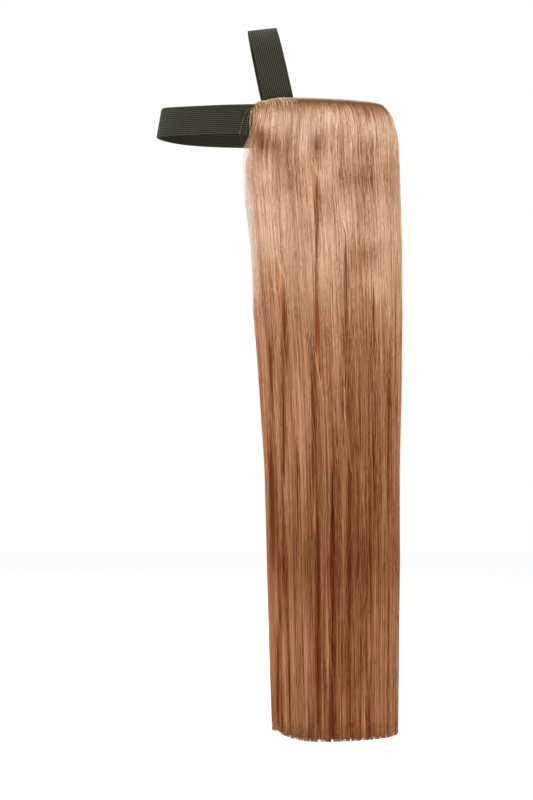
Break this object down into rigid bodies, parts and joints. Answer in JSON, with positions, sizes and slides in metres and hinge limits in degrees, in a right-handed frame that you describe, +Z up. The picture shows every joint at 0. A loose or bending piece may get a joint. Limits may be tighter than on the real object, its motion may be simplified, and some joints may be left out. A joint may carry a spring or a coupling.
{
  "type": "halo hair extension",
  "caption": "Elastic headband with a crown strap, carrying a U-shaped curtain of long straight hair round the back of the head.",
  "frame": {"origin": "middle of the crown strap's underside, where it rests on top of the wearer's head", "axes": "+Z up, the wearer faces -Y, the wearer's left is +X"},
  "size_m": [0.1758, 0.2076, 0.594],
  "materials": {
    "band_elastic": "dark olive-black ribbed elastic, matt",
    "strap_elastic": "dark olive-black ribbed elastic, matt",
    "track_thread": "tan sewn weft strip with a rolled hem",
    "hair": "straight coppery brown hair with a satin sheen"
  },
  "bodies": {
    "root": {"head_band": "band_elastic", "crown_strap": "strap_elastic", "weft_track": "track_thread", "hair_section_01": "hair", "hair_section_02": "hair", "hair_section_03": "hair", "hair_section_04": "hair", "hair_section_05": "hair", "hair_section_06": "hair", "hair_section_07": "hair", "hair_section_08": "hair", "hair_section_09": "hair", "hair_section_10": "hair", "hair_section_11": "hair", "hair_section_12": "hair"}
  },
  "joints": []
}
